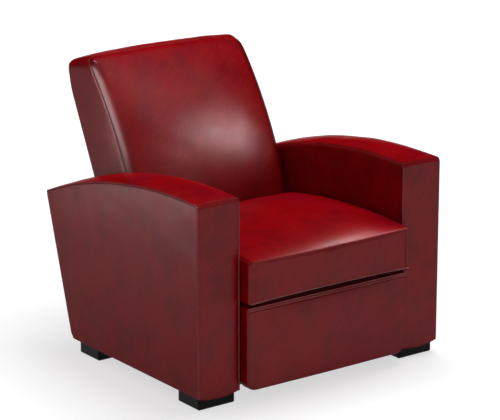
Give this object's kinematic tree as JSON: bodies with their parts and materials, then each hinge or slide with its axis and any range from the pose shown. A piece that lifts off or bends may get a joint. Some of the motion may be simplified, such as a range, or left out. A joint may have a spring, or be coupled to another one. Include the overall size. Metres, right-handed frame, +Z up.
{
  "type": "cinema recliner seat",
  "caption": "Deep-red leather club armchair for a home cinema, with arched arms, a raked back and a powered back and footrest on black block feet.",
  "frame": {"origin": "on the floor under the middle of the chair's outline at rest", "axes": "+Z up; the sitter looks along -Y; +X is the sitter's left"},
  "size_m": [0.906, 1.0118, 0.8929],
  "materials": {
    "arm_leather": "glossy deep-red aniline leather with wadding bonded behind it",
    "cushion_leather": "glossy deep-red aniline leather with wadding bonded behind it",
    "outer_panel": "deep-red leather drawn over a hard board",
    "pad": "foam under deep-red leather",
    "foam": "cut polyurethane foam",
    "deck_cloth": "black deck cloth",
    "timber": "planed timber",
    "board": "plywood",
    "feet": "black satin lacquer",
    "steel": "black powder coat",
    "bright_steel": "zinc plated",
    "spring_steel": "oiled spring wire",
    "plastic": "moulded black plastic",
    "shoe_plastic": "white low-friction plastic",
    "switch_plastic": "fine-grained black plastic"
  },
  "bodies": {
    "base": {"foot_front_left": "feet", "foot_front_right": "feet", "foot_rear_left": "feet", "foot_rear_right": "feet", "foot_screws": "bright_steel", "arm_frame_left": "timber", "arm_frame_right": "timber", "arm_padding_left": "foam", "arm_padding_right": "foam", "arm_cover_left": "arm_leather", "arm_cover_right": "arm_leather", "front_cross_rail": "steel", "rear_cross_rail": "steel", "corner_plates": "steel", "arm_bolts": "bright_steel", "rear_skirt": "board", "power_supply": "plastic", "control_box": "plastic", "track_left": "steel", "track_right": "steel", "wall_saver_studs": "steel", "switch_housing": "switch_plastic"},
    "button_back_down": {"button_back_down": "switch_plastic"},
    "button_back_up": {"button_back_up": "switch_plastic"},
    "button_footrest_out": {"button_footrest_out": "switch_plastic"},
    "button_footrest_in": {"button_footrest_in": "switch_plastic"},
    "seat": {"seat_plate_left": "steel", "seat_plate_right": "steel", "glide_shoes": "shoe_plastic", "seat_front_rail": "timber", "seat_rear_rail": "timber", "seat_side_rails": "timber", "seat_deck": "deck_cloth", "seat_springs": "spring_steel", "seat_cushion_foam": "foam", "seat_cushion_cover": "cushion_leather", "back_hinge_bolts": "bright_steel", "motor_axle_tube": "steel", "footrest_gearmotor": "plastic"},
    "back": {"back_bracket_left": "steel", "back_bracket_right": "steel", "back_stiles": "timber", "back_top_rail": "timber", "back_bottom_rail": "timber", "recline_crank": "steel", "back_springs": "spring_steel", "back_foam": "foam", "back_cover": "cushion_leather", "back_outer_panel": "outer_panel"},
    "front_link": {"front_links": "steel", "drive_tube": "bright_steel"},
    "rear_link": {"rear_links": "steel"},
    "outer_link": {"outer_links": "steel"},
    "inner_link": {"inner_links": "steel"},
    "footrest": {"footrest_brackets": "steel", "footrest_board": "board", "footrest_pad": "pad"},
    "recline_motor": {"recline_motor": "plastic"},
    "recline_rod": {"recline_rod": "bright_steel"}
  },
  "joints": [
    {"name": "back_recline", "type": "hinge", "parent": "seat", "child": "back", "pos_m": [0, 0.16, 0.235], "axis": [-1, 0, 0], "range_deg": [0, 28]},
    {"name": "seat_slide", "type": "slide", "parent": "base", "child": "seat", "axis": [0, -1, 0], "range_m": [0, 0.0748]},
    {"name": "footrest_extend", "type": "hinge", "parent": "seat", "child": "front_link", "pos_m": [0, -0.34, 0.275], "axis": [-1, 0, 0], "range_deg": [0, 95]},
    {"name": "rear_link", "type": "hinge", "parent": "seat", "child": "rear_link", "pos_m": [0, -0.28135, 0.2406], "axis": [-1, 0, 0], "range_deg": [0, 95]},
    {"name": "outer_link", "type": "hinge", "parent": "front_link", "child": "outer_link", "pos_m": [0, -0.26185, 0.14697], "axis": [-1, 0, 0], "range_deg": [-95, 0]},
    {"name": "inner_link", "type": "hinge", "parent": "front_link", "child": "inner_link", "pos_m": [0, -0.2358, 0.10429], "axis": [-1, 0, 0], "range_deg": [-95, 0]},
    {"name": "footrest", "type": "hinge", "parent": "outer_link", "child": "footrest", "pos_m": [0, -0.4, 0.228], "axis": [-1, 0, 0], "range_deg": [0, 95]},
    {"name": "recline_motor", "type": "hinge", "parent": "seat", "child": "recline_motor", "pos_m": [0, -0.15, 0.17], "axis": [-1, 0, 0], "range_deg": [0, 1.31]},
    {"name": "recline_rod", "type": "slide", "parent": "recline_motor", "child": "recline_rod", "axis": [0, -0.9924, 0.123], "range_m": [0, 0.05274]},
    {"name": "button_back_down", "type": "slide", "parent": "base", "child": "button_back_down", "axis": [-1, 0, 0], "range_m": [0, 0.0015], "stiffness_N_per_m": 800},
    {"name": "button_back_up", "type": "slide", "parent": "base", "child": "button_back_up", "axis": [-1, 0, 0], "range_m": [0, 0.0015], "stiffness_N_per_m": 800},
    {"name": "button_footrest_out", "type": "slide", "parent": "base", "child": "button_footrest_out", "axis": [-1, 0, 0], "range_m": [0, 0.0015], "stiffness_N_per_m": 800},
    {"name": "button_footrest_in", "type": "slide", "parent": "base", "child": "button_footrest_in", "axis": [-1, 0, 0], "range_m": [0, 0.0015], "stiffness_N_per_m": 800}
  ],
  "couplings": [
    {"joint": "seat_slide", "follows": "back_recline", "m_per_rad": 0.15306},
    {"joint": "recline_motor", "follows": "back_recline", "ratio": 0.046783},
    {"joint": "recline_rod", "follows": "back_recline", "m_per_rad": 0.10793},
    {"joint": "rear_link", "follows": "footrest_extend", "ratio": 1},
    {"joint": "outer_link", "follows": "footrest_extend", "ratio": -1},
    {"joint": "inner_link", "follows": "footrest_extend", "ratio": -1},
    {"joint": "footrest", "follows": "footrest_extend", "ratio": 1}
  ]
}
